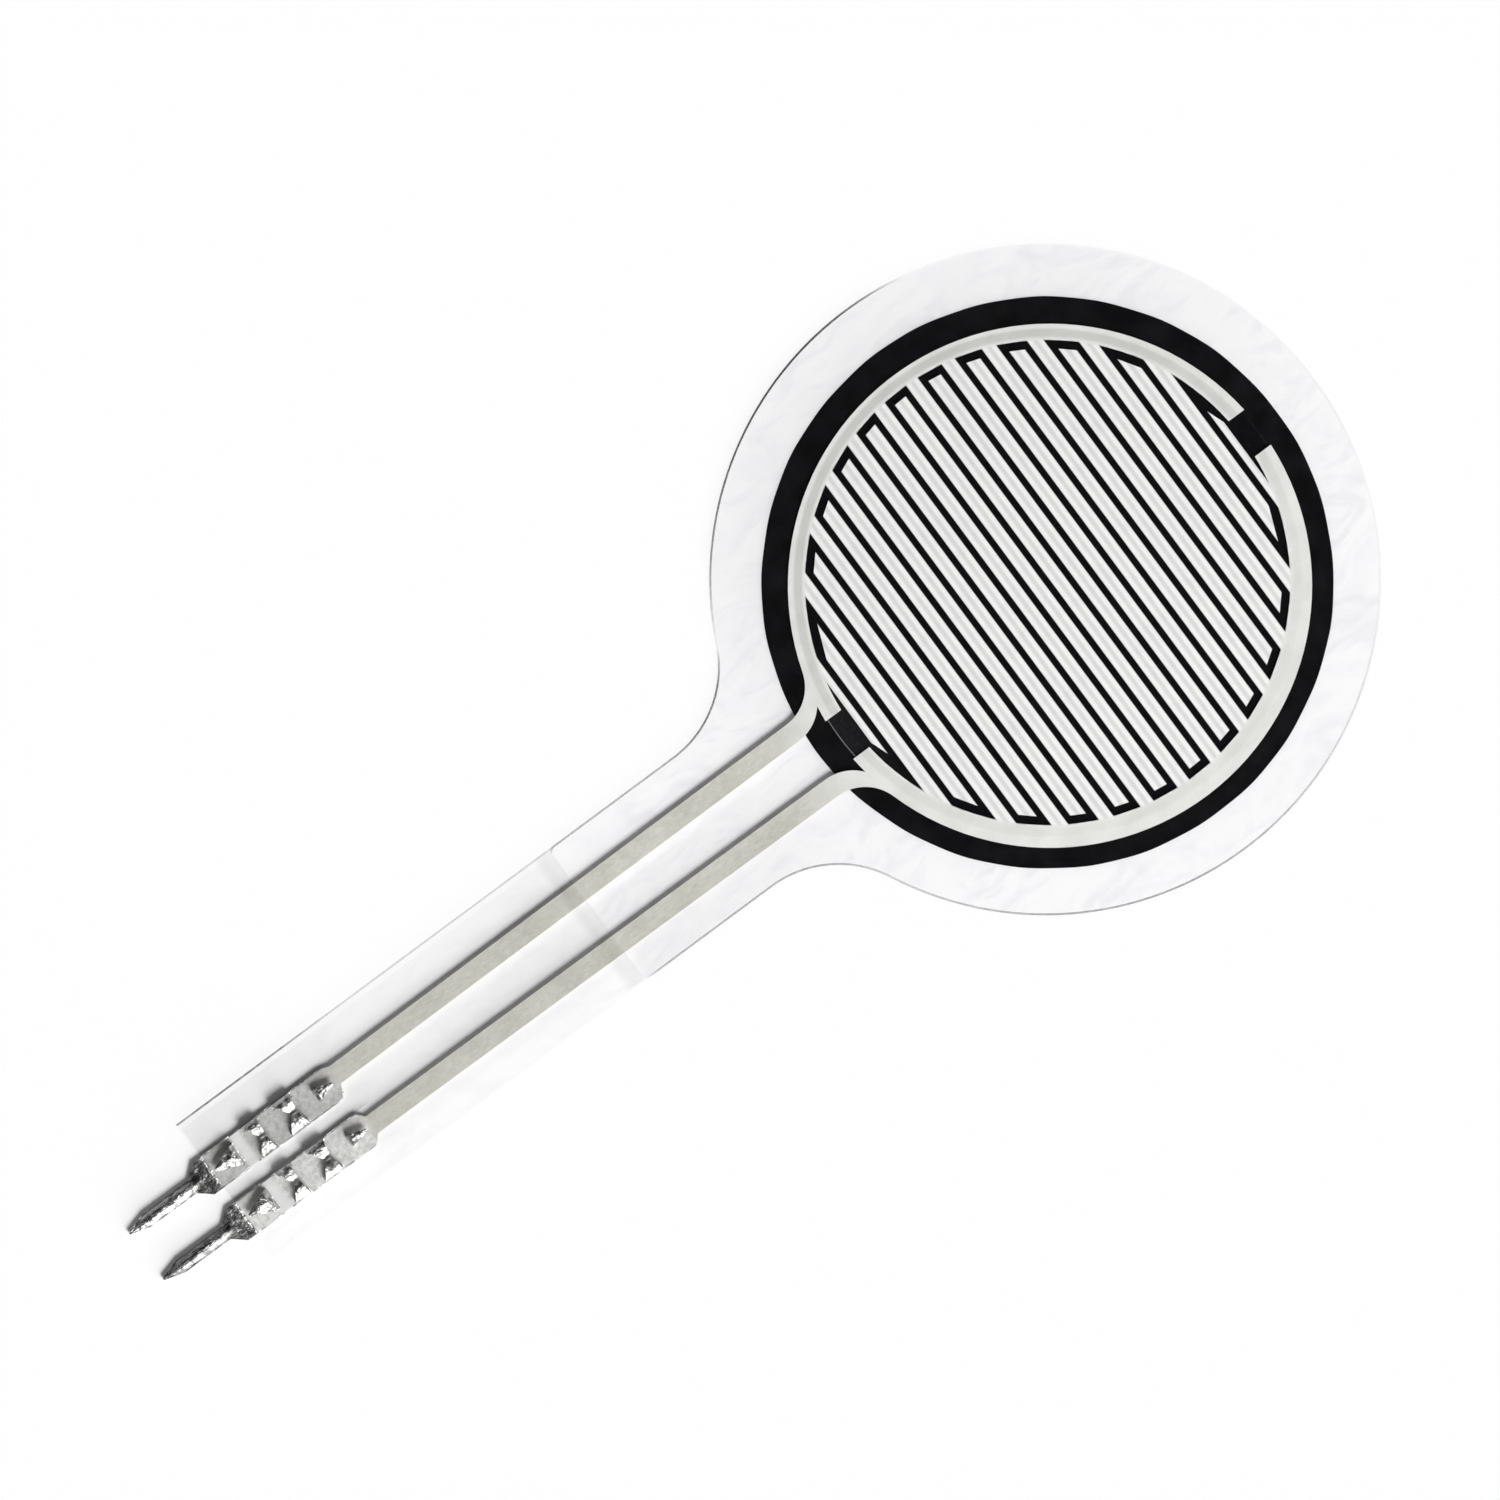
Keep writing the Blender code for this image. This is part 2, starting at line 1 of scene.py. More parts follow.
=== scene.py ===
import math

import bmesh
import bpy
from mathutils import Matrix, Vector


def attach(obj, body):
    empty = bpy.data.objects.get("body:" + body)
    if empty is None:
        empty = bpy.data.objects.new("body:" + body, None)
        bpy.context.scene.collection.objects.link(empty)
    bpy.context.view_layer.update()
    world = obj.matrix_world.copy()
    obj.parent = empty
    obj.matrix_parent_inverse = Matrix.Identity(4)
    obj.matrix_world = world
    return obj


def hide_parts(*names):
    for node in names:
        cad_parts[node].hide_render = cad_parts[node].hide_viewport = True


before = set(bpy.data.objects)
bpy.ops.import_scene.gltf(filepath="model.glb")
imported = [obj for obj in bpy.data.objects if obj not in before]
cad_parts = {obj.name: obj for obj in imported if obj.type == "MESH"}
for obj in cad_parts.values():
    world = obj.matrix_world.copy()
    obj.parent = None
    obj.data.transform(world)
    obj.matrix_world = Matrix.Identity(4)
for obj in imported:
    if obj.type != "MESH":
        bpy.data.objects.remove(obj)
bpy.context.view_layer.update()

# Looks of the force sensing resistor: clear films with cut edges, silver ink, carbon ink and
# tinned contacts, lying on a white table under two lamps at the picture's lower right.
# Metres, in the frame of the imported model: the head's centre is the origin, the tail runs
# along -X and the front faces +Z. The materials read places in millimetres. Their "upper" and
# "lower" sides are the part's +Y and -Y sides, and the lamps stand on the lower one.

MM = 0.001

# Film outline
HEAD_R = 15.0 * MM
TAIL_W = 7.3 * MM
TAIL_SHIFT_Y = -0.13 * MM
HEAD_FILLET_R = 5.0 * MM
STEP_X = -25.1 * MM  # the rear film ends here, in a step across the tail
FILM_END_X = -45.7 * MM
STEP_CORNER_R = 0.4 * MM
ARC_STEP = math.radians(2.0)
CORNER_ARC_STEP = math.radians(15.0)

# Heights of the layers, each a hair apart so that no two faces share a plane
LAYER_GAP = 0.0006 * MM
REAR_FILM_Z = (0.0, 0.13 * MM - LAYER_GAP)
CARBON_Z = (0.13 * MM, 0.145 * MM - LAYER_GAP)
FRONT_FILM_Z = (0.23 * MM + LAYER_GAP, 0.36 * MM)
FLOOR_Z = -0.01 * MM

# Print
PRINT_Y = -0.17 * MM
CARBON_R = 12.8 * MM
CARBON_SIDES = 240
CARBON_EASING = 0.02 * MM
CARBON_WAVES = ((0.012 * MM, 11, 0.7), (0.010 * MM, 29, 2.0))  # depth, count and phase
BUS_INNER_R = 10.83 * MM
FINGER_PITCH = 0.921 * MM

# Opening of the adhesive, and the light bead along its edge
SPACER_OPENING_R = 11.6 * MM
BEAD_W = 0.06 * MM
BEAD_Z = 0.18 * MM  # midway between the carbon and the silver

# Contacts, and the slots that their claws and tongues pass
CONTACT_Y = (0.85 * MM, -1.69 * MM)
CONTACT_MIDDLE_Y = sum(CONTACT_Y) / 2
CONTACT_HALF_W = 0.9 * MM
TRACE_TOP_Y = (1.68 * MM, -1.07 * MM)
SLOTS = (  # in mm: centre from the film's end, centre across, length and width
    (2.70, 0.74, 0.86, 0.26),
    (2.70, -0.74, 0.86, 0.26),
    (4.43, 0.74, 1.06, 0.26),
    (4.43, -0.74, 1.06, 0.26),
    (1.44, 0.0, 0.26, 1.08),
    (5.90, 0.0, 0.26, 0.60),
)

# Edges: cut edges of the films, and eased edges of the contacts
RIM_W = 0.09 * MM
RIM_STEPS = 4
SLOT_RIM_W = 0.03 * MM
LEAST_SLANT = 0.3  # limits the reach of a mitred corner
METAL_EASING = 0.018 * MM
MERGE_DISTANCE = 0.0005 * MM
FLAT_ANGLE = math.radians(1.5)
EDGE_ANGLE = math.radians(30.0)
SHARP_ANGLE = math.radians(40.0)

# Directions and places that the materials share, in millimetres
ALONG_TAIL = (1.0, 0.0, 0.0)
ACROSS_TAIL = (0.0, 1.0, 0.0)
IN_PLANE = (1.0, 1.0, 0.0)
STEP = STEP_X / MM
FILM_END = FILM_END_X / MM
NECK = (-13.0, -19.0)  # along the tail, from the head to the plain tail
CONTACT_GAP = (-0.6, -0.2)  # across the tail, from the lower contact to the upper
PLATE_START = (-37.9, -38.7)  # along the tail, from the traces to the contacts' plates
PAD_START = (FILM_END + 7.15, FILM_END + 6.7)  # the same for the silver's wider pads
WAIST_X = FILM_END + 1.83  # middle of the plates' waists
# Radius of the line of painted shade along the silver ring
SHADE_LINE_R = 11.15  # the darker line along the silver ring

# Clear film: share of light that one face passes where it is clean and where it is worn
CLEAN_TINT = (1.0, 0.999, 1.0)
WORN_TINT = (0.975, 0.971, 0.979)
GLOSS_FACING = 0.010
GLOSS_GRAZING = 0.04

# Picture
PIXELS = 1500.0
PIXELS_PER_MM = 22.4
PICTURE_TURN = math.radians(-36.5)
PICTURE_CENTRE = Vector((-15.125 * MM, 1.723 * MM, 0.2 * MM))
LENS = 150.0
SENSOR = 36.0
CLIP = (0.01, 20.0)

# Light and table
LAMP_AZIMUTH = math.radians(-85.0)
LAMP_DISTANCE = 0.5
LAMPS = (  # name, elevation, spread, and its share of the light on the table
    ("key_lamp", math.radians(43.0), math.radians(24.0), 0.43),
    ("soft_lamp", math.radians(30.0), math.radians(56.0), 0.41),
)
SKY = (0.8, 0.8, 0.8, 1.0)
FILL_SHARE = 0.215
BRIGHT_SIDE = (0.30, -0.95, 0.0)
TABLE_HALF_W = 3.0
TABLE_COLOUR = (0.985, 0.985, 0.985, 1.0)


def arc(centre, radius, start, end, step=ARC_STEP):
    """Points along an arc, both ends included."""
    count = max(2, math.ceil(abs(end - start) / step))
    angles = [start + (end - start) * i / count for i in range(count + 1)]
    return [(centre[0] + radius * math.cos(a), centre[1] + radius * math.sin(a)) for a in angles]


def tail_side(side, end_x, corner_r):
    """One side of the tail, from its end to the head, and the angle where it meets the head."""
    edge = TAIL_W / 2 + side * TAIL_SHIFT_Y
    rise = edge + HEAD_FILLET_R
    fillet_x = -math.sqrt((HEAD_R + HEAD_FILLET_R) ** 2 - rise ** 2)
    points = [(end_x, edge)]
    if corner_r > 0:
        middle = (end_x + corner_r, edge - corner_r)
        points = arc(middle, corner_r, math.pi, math.pi / 2, CORNER_ARC_STEP)
    points += arc((fillet_x, rise), HEAD_FILLET_R, -math.pi / 2, -math.atan2(rise, -fillet_x))
    return points, math.atan2(rise, fillet_x)


def keyhole(end_x, corner_r):
    """Outline of the round head and its tail, counter-clockwise."""
    upper, upper_join = tail_side(1, end_x, corner_r)
    lower, lower_join = tail_side(-1, end_x, corner_r)
    points = [(x, -y) for x, y in lower]
    points += arc((0.0, 0.0), HEAD_R, -lower_join, upper_join)[1:-1]
    return points + upper[::-1]


def slot_outlines():
    """The slots of both contacts, clockwise."""
    outlines = []
    for contact_y in CONTACT_Y:
        for x, y, length, width in SLOTS:
            middle = Vector((FILM_END_X + x * MM, contact_y + y * MM))
            dx, dy = length * MM / 2, width * MM / 2
            corners = ((-dx, -dy), (-dx, dy), (dx, dy), (dx, -dy))
            outlines.append([tuple(middle + Vector(corner)) for corner in corners])
    return outlines


def inset(outline, distance):
    """The outline moved to its left by a distance, with mitred corners."""
    moved = []
    count = len(outline)
    for i, point in enumerate(outline):
        here = Vector(point)
        back = (here - Vector(outline[i - 1])).normalized()
        ahead = (Vector(outline[(i + 1) % count]) - here).normalized()
        left = Vector((-back.y - ahead.y, back.x + ahead.x)).normalized()
        slant = max(LEAST_SLANT, left.dot(Vector((-back.y, back.x))))
        moved.append(tuple(here + left * (distance / slant)))
    return moved


def link_new(name, data):
    """A new object in the scene, from a mesh, curve, lamp or camera."""
    made = bpy.data.objects.new(name, data)
    bpy.context.scene.collection.objects.link(made)
    return made


def mesh_object(name, work, materials):
    """A new object from a bmesh, which is freed."""
    mesh = bpy.data.meshes.new(name)
    bmesh.ops.recalc_face_normals(work, faces=work.faces)
    work.to_mesh(mesh)
    work.free()
    for item in materials:
        mesh.materials.append(item)
    return link_new(name, mesh)


def join_part(made):
    """Let a piece ride on the part's only body."""
    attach(made, "root")


def film(name, outlines, heights, materials):
    """A film with rounded cut edges: faces first, rim second among its materials."""
    work = bmesh.new()
    middle = sum(heights) / 2
    half = (heights[1] - heights[0]) / 2
    caps = {1: [], -1: []}
    for index, outline in enumerate(outlines):
        width = RIM_W if index == 0 else SLOT_RIM_W
        rows = []
        for step in range(-RIM_STEPS, RIM_STEPS + 1):
            turn = step / RIM_STEPS * math.pi / 2
            ring = inset(outline, width * (1 - math.cos(turn)))
            z = middle + half * math.sin(turn)
            rows.append([work.verts.new((x, y, z)) for x, y in ring])
        for low, high in zip(rows, rows[1:]):
            for i in range(len(low)):
                j = (i + 1) % len(low)
                face = work.faces.new((low[i], low[j], high[j], high[i]))
                face.material_index = 1
                face.smooth = True
        for way, row in ((-1, rows[0]), (1, rows[-1])):
            caps[way] += [work.edges.get((row[i - 1], row[i])) for i in range(len(row))]
    for way, edges in caps.items():
        bmesh.ops.triangle_fill(work, use_beauty=True, edges=edges, normal=(0.0, 0.0, way))
    made = mesh_object(name, work, materials)
    made.visible_shadow = False
    join_part(made)
    return made


class Nodes:
    """Short forms for building the node tree of a material or world."""

    def __init__(self, owner, output="ShaderNodeOutputMaterial"):
        owner.use_nodes = True
        self.owner = owner
        self.tree = owner.node_tree
        self.tree.nodes.clear()
        self.output = self.add(output)

    def add(self, kind, inputs=None, **settings):
        """A node whose inputs are linked to sockets or set to values."""
        node = self.tree.nodes.new(kind)
        for key, value in settings.items():
            setattr(node, key, value)
        for key, value in (inputs or {}).items():
            if isinstance(value, bpy.types.NodeSocket):
                self.tree.links.new(value, node.inputs[key])
            else:
                node.inputs[key].default_value = value
        return node

    def maths(self, operation, a, b=0.0, clamp=False):
        node = self.add("ShaderNodeMath", {0: a, 1: b}, operation=operation, use_clamp=clamp)
        return node.outputs[0]

    def plus(self, total, *others):
        for other in others:
            total = self.maths("ADD", total, other)
        return total

    def minus(self, a, b):
        return self.maths("SUBTRACT", a, b)

    def times(self, product, *others):
        for other in others:
            product = self.maths("MULTIPLY", product, other)
        return product

    def away(self, value, middle):
        """How far a value is from a middle, to either side."""
        return self.maths("ABSOLUTE", self.minus(value, middle))

    def vector(self, operation, inputs, output=0):
        node = self.add("ShaderNodeVectorMath", inputs, operation=operation)
        return node.outputs[output]

    def scaled(self, vector, factor):
        """A vector or colour times a factor."""
        return self.vector("SCALE", {0: vector, "Scale": factor})

    def place(self):
        """Object coordinates in millimetres."""
        return self.scaled(self.add("ShaderNodeTexCoord").outputs["Object"], 1 / MM)

    def along(self, where, direction):
        """How far a place lies along a direction."""
        return self.vector("DOT_PRODUCT", {0: where, 1: direction}, "Value")

    def heading(self, where):
        """The direction of a vector in the film's plane."""
        return self.vector("NORMALIZE", {0: self.vector("MULTIPLY", {0: where, 1: IN_PLANE})})

    def radius(self, where):
        """Distance from the print's centre in the film's plane, in millimetres."""
        reach = self.vector("SUBTRACT", {0: where, 1: (0.0, PRINT_Y / MM, 0.0)})
        return self.vector("LENGTH", {0: self.vector("MULTIPLY", {0: reach, 1: IN_PLANE})}, "Value")

    def noise(self, where, scale, detail=4.0, rough=0.55, distortion=0.0):
        node = self.add("ShaderNodeTexNoise", {
            "Vector": where, "Scale": scale, "Detail": detail, "Roughness": rough,
            "Distortion": distortion,
        })
        return node.outputs["Fac"]

    def span(self, value, low, high, to_low=0.0, to_high=1.0, smooth=False):
        """A value's way from low to high, told from to_low to to_high and held at both ends."""
        node = self.add("ShaderNodeMapRange", {
            "Value": value, "From Min": low, "From Max": high, "To Min": to_low, "To Max": to_high,
        }, interpolation_type="SMOOTHSTEP" if smooth else "LINEAR")
        return node.outputs["Result"]

    def blend(self, factor, a, b):
        """The colour between a and b, each a socket or three values."""
        node = self.add("ShaderNodeMix", {"Factor": factor}, data_type="RGBA")
        for index, value in ((6, a), (7, b)):
            if isinstance(value, bpy.types.NodeSocket):
                self.tree.links.new(value, node.inputs[index])
            else:
                node.inputs[index].default_value = (*value, 1.0)
        return node.outputs[2]

    def stretched(self, where, sizes):
        """A place scaled apart in each direction, so that noise there is drawn out."""
        return self.add("ShaderNodeMapping", {"Vector": where, "Scale": sizes}).outputs[0]

    def bump(self, height, strength, distance):
        node = self.add("ShaderNodeBump", {
            "Height": height, "Strength": strength, "Distance": distance,
        })
        return node.outputs[0]

    def shader(self, kind, inputs):
        return self.add(kind, inputs).outputs[0]

    def mixed(self, share, first, second):
        """Two shaders, mixed by the share of the second."""
        return self.shader("ShaderNodeMixShader", {0: share, 1: first, 2: second})

    def finish(self, shader):
        """The material or world, with the shader on its surface."""
        self.tree.links.new(shader, self.output.inputs["Surface"])
        return self.owner


def new_look(name):
    """The node tree of a new material."""
    return Nodes(bpy.data.materials.new(name))


def compass(degrees):
    """The direction at an angle from +X, in the film's plane."""
    return (math.cos(math.radians(degrees)), math.sin(math.radians(degrees)), 0.0)


def head_shade(n, where, x):
    """Painted shade over the head: light lost, more towards its upper side and less on the rim."""
    slope = n.span(n.along(where, (-0.10, 0.99, 0.0)), -9.0, 13.0, 0.0, 0.021)
    on_head = n.span(x, NECK[1], NECK[0], smooth=True)
    to_rim = n.span(n.radius(where), 12.6, 15.0, 1.25, 0.5)
    return n.times(slope, on_head, to_rim)


def tail_haze_and_shade(n, x, y):
    """Light lost in the tail to haze and painted shade: most where it is bare or over the contacts,
    least on its edges.
    """
    middle = n.span(n.away(y, CONTACT_MIDDLE_Y / MM), 0.9, 0.6, smooth=True)
    at_contacts = n.span(x, -36.5, -39.5, smooth=True)
    # Painted shade at the contacts, deepest between them.
    contact_shade = n.times(n.span(middle, 0.0, 1.0, 0.02, 0.035), at_contacts)
    bare = n.span(x, STEP, STEP - 0.5, 0.0, 0.028)
    inside_lower = n.span(y, -3.2, -2.3, smooth=True)
    # Clearer just inside the upper edge: a painted highlight line.
    inside_upper = n.span(y, 3.16, 3.26, 1.0, 0.15, smooth=True)
    # Haze, with the painted shade at the contacts.
    haze = n.times(n.plus(contact_shade, bare), inside_lower, inside_upper)
    laminated = n.span(x, STEP, STEP + 0.5, 0.0, 0.014)
    lower_side = n.times(laminated, n.span(y, -1.4, -2.2))
    # Darker between the traces along the whole tail, and on the laminated part's lower side.
    inner = n.maths("MAXIMUM", n.times(middle, 0.014), lower_side)
    return n.plus(haze, n.times(inner, n.span(x, *NECK, smooth=True)))


def step_band(n, x):
    """Painted shadow of the step: light lost in a soft band across the bare tail, close to the
    step.
    """
    rise = n.span(x, STEP - 0.95, STEP - 0.35, smooth=True)
    return n.times(rise, n.span(x, STEP, STEP + 0.15, 1.0, 0.0), 0.05)


def soft_shadows(n, x, y):
    """Light lost beside the bare tail's traces and contacts, on the side away from the lamps.

    It stands for the blurred shadows that they throw in the photo, where the tail seems to
    lie a little above the table.
    """
    at_plates = n.span(x, *PLATE_START, smooth=True)
    at_traces = n.minus(n.span(x, STEP, STEP - 1.2), at_plates)
    rows = [(edge, 0.9, 0.075, at_traces) for edge in TRACE_TOP_Y]
    rows += [(middle + CONTACT_HALF_W, 0.45, 0.15, at_plates) for middle in CONTACT_Y]
    lost = 0.0
    for edge, reach, strength, part in rows:
        past = n.minus(y, edge / MM)
        soft = n.maths("POWER", n.span(past, 0.0, reach, 1.0, 0.0), 1.7)
        lost = n.plus(lost, n.times(soft, n.span(past, -0.04, 0.02), part, strength))
    return lost


def clear_film(name, glossy):
    """Clear polyester: it tints a little what is behind it, with smears, fine haze and painted
    shade.
    """
    n = new_look(name)
    where = n.place()
    x = n.along(where, ALONG_TAIL)
    y = n.along(where, ACROSS_TAIL)
    smears = n.noise(n.stretched(where, (0.6, 1.2, 1.0)), 0.55, 6.0, 0.68, 1.6)
    smears = n.span(smears, 0.44, 0.66, smooth=True)
    grains = n.span(n.noise(where, 5.0, 3.0), 0.45, 0.75)
    worn = n.plus(n.times(smears, 0.7), n.times(grains, 0.3))
    # Light lost to haze and to painted shade and shadows.
    lost = n.plus(
        step_band(n, x), tail_haze_and_shade(n, x, y), soft_shadows(n, x, y), head_shade(n, where, x),
    )
    tone = n.scaled(n.blend(worn, CLEAN_TINT, WORN_TINT), n.minus(1.0, lost))
    seen_through = n.shader("ShaderNodeBsdfTransparent", {"Color": tone})
    if not glossy:
        return n.finish(seen_through)
    facing = n.add("ShaderNodeLayerWeight", {"Blend": 0.5}).outputs["Facing"]
    mirror = n.plus(n.times(n.maths("POWER", facing, 5.0), GLOSS_GRAZING), GLOSS_FACING)
    sheen = n.shader("ShaderNodeBsdfAnisotropic", {
        "Color": (0.96, 0.97, 1.0, 1.0), "Roughness": n.span(worn, 0.0, 1.0, 0.06, 0.22),
    })
    return n.finish(n.mixed(mirror, seen_through, sheen))


def cut_edge(name, tail, contacts, head, foot):
    """The sheared edge of a film: painted shade, dark where it faces away from the lamps, else
    clear.

    The shares of darkness are for the tail's upper edge, for its last part at the contacts,
    for the head's edge at the picture's upper left, and for the edge that faces the
    picture's foot.
    """
    n = new_look(name)
    where = n.place()
    facing = n.heading(n.add("ShaderNodeNewGeometry").outputs["True Normal"])
    x = n.along(where, ALONG_TAIL)
    above = n.span(n.along(where, ACROSS_TAIL), -1.0, 1.0)
    on_tail = n.span(x, -4.0, -11.0, smooth=True)
    upward = n.span(n.along(facing, compass(105.0)), 0.60, 0.92, smooth=True)
    share = n.plus(n.span(x, -37.0, -40.5, tail, contacts), n.span(x, -19.0, -16.0, 0.0, 0.25))
    along_tail = n.times(upward, above, on_tail, share)
    far_side = n.along(n.heading(where), compass(117.0))
    far_side = n.span(far_side, 0.77, 0.975, 0.0, head, smooth=True)
    round_head = n.times(far_side, n.minus(1.0, on_tail))
    downward = n.maths("POWER", n.maths("MAXIMUM", n.along(facing, compass(-110.0)), 0.0), 2.0)
    off_step = n.span(x, STEP + 0.15, STEP + 0.9)
    along_foot = n.times(downward, n.minus(1.0, above), off_step, foot)
    ragged = n.noise(where, 2.5, 5.0, 0.7)
    dark = n.plus(along_tail, round_head, along_foot)
    cover = n.maths("MULTIPLY", dark, n.span(ragged, 0.3, 0.7, 0.75, 1.2), clamp=True)
    clear = n.shader("ShaderNodeBsdfTransparent", {"Color": (0.985, 0.985, 0.987, 1.0)})
    grey = n.blend(ragged, (0.05, 0.05, 0.05), (0.12, 0.12, 0.11))
    return n.finish(n.mixed(cover, clear, n.shader("ShaderNodeBsdfDiffuse", {"Color": grey})))


def opening_edge():
    """The edge of the adhesive's opening, a faint light line that shows in the neck."""
    n = new_look("adhesive_edge")
    where = n.place()
    ragged = n.noise(where, 9.0, 4.0, 0.65)
    in_neck = n.span(n.along(where, ALONG_TAIL), -11.0, -9.0, 1.0, 0.05)
    return n.finish(n.shader("ShaderNodeBsdfPrincipled", {
        "Base Color": n.blend(ragged, (0.45, 0.46, 0.48), (0.52, 0.52, 0.53)),
        "Roughness": 0.45,
        "Alpha": n.times(n.span(ragged, 0.3, 0.7, 0.10, 0.30), in_neck),
    }))


def adhesive():
    """Clear adhesive with faint clouds."""
    n = new_look("spacer_adhesive_look")
    cloud = n.span(n.noise(n.place(), 0.8, 5.0, 0.6), 0.35, 0.7)
    tone = n.blend(cloud, (0.998, 0.998, 0.998), (0.992, 0.992, 0.993))
    return n.finish(n.shader("ShaderNodeBsdfTransparent", {"Color": tone}))


def carbon():
    """Screen-printed carbon, darker where the adhesive wets it and lighter in the neck."""
    n = new_look("carbon_ink_look")
    where = n.place()
    mottle = n.noise(where, 6.0, 6.0, 0.7)
    grain = n.span(mottle, 0.35, 0.7)
    patch = n.span(n.noise(where, 0.9, 3.0), 0.35, 0.65)
    in_neck = n.blend(grain, (0.009, 0.009, 0.010), (0.020, 0.020, 0.022))
    in_head = n.blend(grain, (0.003, 0.003, 0.004), (0.008, 0.008, 0.009))
    dry = n.blend(n.span(n.along(where, ALONG_TAIL), -11.0, -10.0), in_neck, in_head)
    wet = n.blend(patch, (0.0044, 0.0044, 0.0050), (0.0086, 0.0086, 0.0096))
    opening_r = SPACER_OPENING_R / MM
    under_adhesive = n.span(n.radius(where), opening_r - 0.03, opening_r + 0.03)
    return n.finish(n.shader("ShaderNodeBsdfPrincipled", {
        "Base Color": n.blend(under_adhesive, dry, wet),
        "Roughness": n.span(mottle, 0.3, 0.7, 0.45, 0.75),
        "Specular IOR Level": 0.0,
        "Normal": n.bump(mottle, 0.5, 0.01 * MM),
    }))


def finger_tone(n, x):
    """A finger's colour: two lighter stripes along it, and dark edges beside the black gaps."""
    turns = n.maths("FRACT", n.maths("DIVIDE", x, FINGER_PITCH / MM))
    aside = n.away(turns, 0.5)
    light_stripes = n.times(
        n.span(aside, 0.04, 0.17, smooth=True), n.span(aside, 0.24, 0.34, 1.0, 0.6, smooth=True),
    )
    tone = n.blend(light_stripes, (0.755, 0.76, 0.735), (0.945, 0.945, 0.94))
    return n.scaled(tone, n.span(aside, 0.305, 0.355, 1.0, 0.15))


def ring_tone(n, cloud, radius, y):
    """The ring's colour, with a line of painted shade along it that darkens towards its upper side,
    away from the lamps.
    """
    tone = n.blend(cloud, (0.79, 0.795, 0.76), (0.85, 0.86, 0.82))
    shade_line = n.span(n.away(radius, SHADE_LINE_R), 0.28, 0.10, smooth=True)
    # Painted shade, stronger towards the upper side.
    depth = n.span(y, -6.0, 7.0, 0.05, 0.23)
    return n.scaled(tone, n.minus(1.0, n.times(shade_line, depth)))


def trace_tone(n, cloud, where):
    """The traces' yellower colour, rubbed unevenly along the tail."""
    tone = n.blend(cloud, (0.58, 0.58, 0.515), (0.65, 0.645, 0.585))
    rubbed = n.noise(n.stretched(where, (1.2, 3.0, 1.0)), 2.6, 6.0, 0.72, 0.5)
    return n.scaled(tone, n.span(rubbed, 0.34, 0.66, 0.90, 1.10))


def pad_tone(n, where, x, y):
    """The pads' mottled colour over the contacts, light across the plates' waists."""
    mottle = n.span(n.noise(where, 4.0, 6.0, 0.75), 0.36, 0.62)
    tone = n.blend(mottle, (0.60, 0.60, 0.57), (0.90, 0.90, 0.88))
    tone = n.scaled(tone, n.span(y, *CONTACT_GAP, 0.97, 0.74))
    at_waist = n.span(n.away(x, WAIST_X), 0.12, 0.42, 0.9, 0.0, smooth=True)
    return n.blend(at_waist, tone, (0.86, 0.86, 0.85))


def silver():
    """Silver ink: bright fingers, a greyer ring, a yellower tail and mottled pads."""
    n = new_look("silver_ink_look")
    where = n.place()
    x = n.along(where, ALONG_TAIL)
    y = n.along(where, ACROSS_TAIL)
    radius = n.radius(where)
    grain = n.noise(where, 14.0, 5.0, 0.7)
    cloud = n.span(n.noise(where, 0.7, 3.0), 0.35, 0.65)
    bus_r = BUS_INNER_R / MM
    on_ring = n.span(radius, bus_r - 0.05, bus_r + 0.05)
    printed = n.blend(on_ring, finger_tone(n, x), ring_tone(n, cloud, radius, y))
    printed = n.blend(n.span(radius, 12.0, 15.0), printed, trace_tone(n, cloud, where))
    printed = n.blend(n.span(x, *PAD_START), printed, pad_tone(n, where, x, y))
    return n.finish(n.shader("ShaderNodeBsdfPrincipled", {
        "Base Color": n.scaled(printed, n.span(grain, 0.25, 0.75, 0.93, 1.05)),
        "Metallic": 0.1,
        "Roughness": n.span(grain, 0.3, 0.7, 0.42, 0.6),
        "Specular IOR Level": 0.15,
        "Normal": n.bump(grain, 0.35, 0.01 * MM),
    }))


def tin():
    """Dull tin plate with rolling streaks, small pits and darker patches.

    It is darker on the shoulder just past the film's end and on the pins, and more dented
    under and on the film.
    """
    n = new_look("tinned_brass_look")
    where = n.place()
    x = n.along(where, ALONG_TAIL)
    streak = n.noise(n.stretched(where, (1.5, 22.0, 6.0)), 1.0, 5.0, 0.6)
    pits = n.noise(where, 9.0, 5.0, 0.65)
    dents = n.noise(where, 4.0, 3.0, 0.6, 0.8)
    stain = n.span(n.noise(where, 3.0, 4.0, 0.6), 0.46, 0.60, smooth=True)
    tone = n.blend(n.span(streak, 0.3, 0.7), (0.70, 0.70, 0.69), (0.86, 0.86, 0.85))
    tone = n.blend(n.times(stain, 0.7), tone, (0.13, 0.13, 0.13))
    shoulder = n.times(
        n.span(x, FILM_END - 1.3, FILM_END - 0.8),
        n.span(x, FILM_END - 0.05, FILM_END + 0.05, 1.0, 0.0), 0.74,
    )
    pin_loss = n.span(n.along(where, ACROSS_TAIL), *CONTACT_GAP, 0.50, 0.30)
    pin = n.times(n.span(x, FILM_END - 0.8, FILM_END - 1.3), pin_loss)
    dent_depth = n.span(x, FILM_END - 0.4, FILM_END + 0.2, 0.9, 2.4)
    height = n.plus(pits, n.times(streak, 0.5), n.times(dents, dent_depth))
    return n.finish(n.shader("ShaderNodeBsdfPrincipled", {
        "Base Color": n.scaled(tone, n.minus(n.minus(1.0, shoulder), pin)),
        "Metallic": 1.0,
        "Roughness": n.span(pits, 0.3, 0.7, 0.12, 0.28),
        "Normal": n.bump(height, 0.7, 0.05 * MM),
    }))


